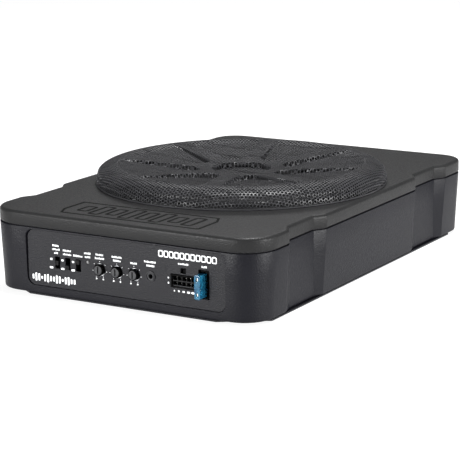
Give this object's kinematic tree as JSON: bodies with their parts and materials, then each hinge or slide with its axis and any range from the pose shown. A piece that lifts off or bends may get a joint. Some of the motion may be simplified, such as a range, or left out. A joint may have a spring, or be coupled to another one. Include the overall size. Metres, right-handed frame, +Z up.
{
  "type": "powered car subwoofer",
  "caption": "Shallow under-seat bass enclosure: sealed moulded box with a round driver under a domed perforated grille, built-in amplifier and a recessed control panel.",
  "frame": {"origin": "middle of the plinth's flat underside", "axes": "+Z up through the cover, +Y from the control panel to the rear, +X to the right as the panel is read"},
  "size_m": [0.256, 0.387, 0.0843],
  "materials": {
    "moulded_black": "fine moulded grain, black",
    "grille_mesh": "satin black coated perforated steel",
    "black_rubber": "matt black",
    "zinc_steel": "zinc plated",
    "painted_steel": "black coated steel",
    "ferrite": "matt sintered",
    "pulp_cone": "pressed pulp, black",
    "copper": "enamelled copper wire",
    "circuit_board": "green solder mask",
    "aluminium": "extruded, plain",
    "control_black": "black nylon",
    "knob_grey": "dark grey plastic",
    "fuse_blue": "clear blue",
    "led_lens": "smoked red lens",
    "woven_spider": "resin treated cotton, tan"
  },
  "bodies": {
    "enclosure": {"lower_enclosure": "moulded_black", "cover_gasket": "black_rubber", "top_cover": "moulded_black", "cover_screw_1": "zinc_steel", "cover_screw_2": "zinc_steel", "cover_screw_3": "zinc_steel", "cover_screw_4": "zinc_steel", "cover_screw_5": "zinc_steel", "cover_screw_6": "zinc_steel", "grille": "grille_mesh", "driver_basket": "painted_steel", "driver_gasket": "black_rubber", "driver_screw_1": "zinc_steel", "driver_screw_2": "zinc_steel", "driver_screw_3": "zinc_steel", "driver_screw_4": "zinc_steel", "driver_screw_5": "zinc_steel", "driver_screw_6": "zinc_steel", "driver_screw_7": "zinc_steel", "driver_screw_8": "zinc_steel", "back_plate": "zinc_steel", "magnet": "ferrite", "top_plate": "zinc_steel", "surround": "black_rubber", "spider": "woven_spider", "driver_terminals": "control_black", "control_panel": "moulded_black", "switch_housing_1": "zinc_steel", "switch_housing_2": "zinc_steel", "switch_housing_3": "zinc_steel", "pot_body_1": "zinc_steel", "pot_body_2": "zinc_steel", "pot_body_3": "zinc_steel", "power_led": "led_lens", "remote_jack": "control_black", "harness_header": "control_black", "fuse_holder": "control_black", "amp_board": "circuit_board", "heat_sink": "aluminium", "output_transistor_1": "control_black", "output_transistor_2": "control_black", "output_transistor_3": "control_black", "output_transistor_4": "control_black", "filter_capacitor_1": "control_black", "filter_capacitor_2": "control_black", "filter_choke": "copper"},
    "cone_assembly": {"cone": "pulp_cone", "dust_cap": "pulp_cone", "voice_coil": "copper"},
    "level_knob_1": {"knob_1": "knob_grey"},
    "level_knob_2": {"knob_2": "knob_grey"},
    "level_knob_3": {"knob_3": "knob_grey"},
    "slide_switch_1": {"switch_slider_1": "control_black"},
    "slide_switch_2": {"switch_slider_2": "control_black"},
    "slide_switch_3": {"switch_slider_3": "control_black"},
    "blade_fuse": {"fuse": "fuse_blue"}
  },
  "joints": [
    {"name": "cone_travel", "type": "slide", "parent": "enclosure", "child": "cone_assembly", "axis": [0, 0, 1], "range_m": [-0.007, 0.007], "stiffness_N_per_m": 3000, "deforming": ["surround", "spider"]},
    {"name": "bass_boost_turn", "type": "hinge", "parent": "enclosure", "child": "level_knob_1", "pos_m": [-0.0181, -0.1875, 0.0284], "axis": [0, 1, 0], "range_deg": [-140, 140]},
    {"name": "crossover_turn", "type": "hinge", "parent": "enclosure", "child": "level_knob_2", "pos_m": [-0.0019, -0.1875, 0.0284], "axis": [0, 1, 0], "range_deg": [-140, 140]},
    {"name": "gain_turn", "type": "hinge", "parent": "enclosure", "child": "level_knob_3", "pos_m": [0.0143, -0.1875, 0.0284], "axis": [0, 1, 0], "range_deg": [-140, 140]},
    {"name": "turn_on_switch", "type": "slide", "parent": "enclosure", "child": "slide_switch_1", "axis": [0, 0, 1], "range_m": [-0.0028, 0.0028]},
    {"name": "input_level_switch", "type": "slide", "parent": "enclosure", "child": "slide_switch_2", "axis": [0, 0, 1], "range_m": [0, 0.0056]},
    {"name": "phase_switch", "type": "slide", "parent": "enclosure", "child": "slide_switch_3", "axis": [0, 0, 1], "range_m": [-0.0056, 0]},
    {"name": "fuse_pull", "type": "slide", "parent": "enclosure", "child": "blade_fuse", "axis": [0, -1, 0], "range_m": [0, 0.022]}
  ]
}
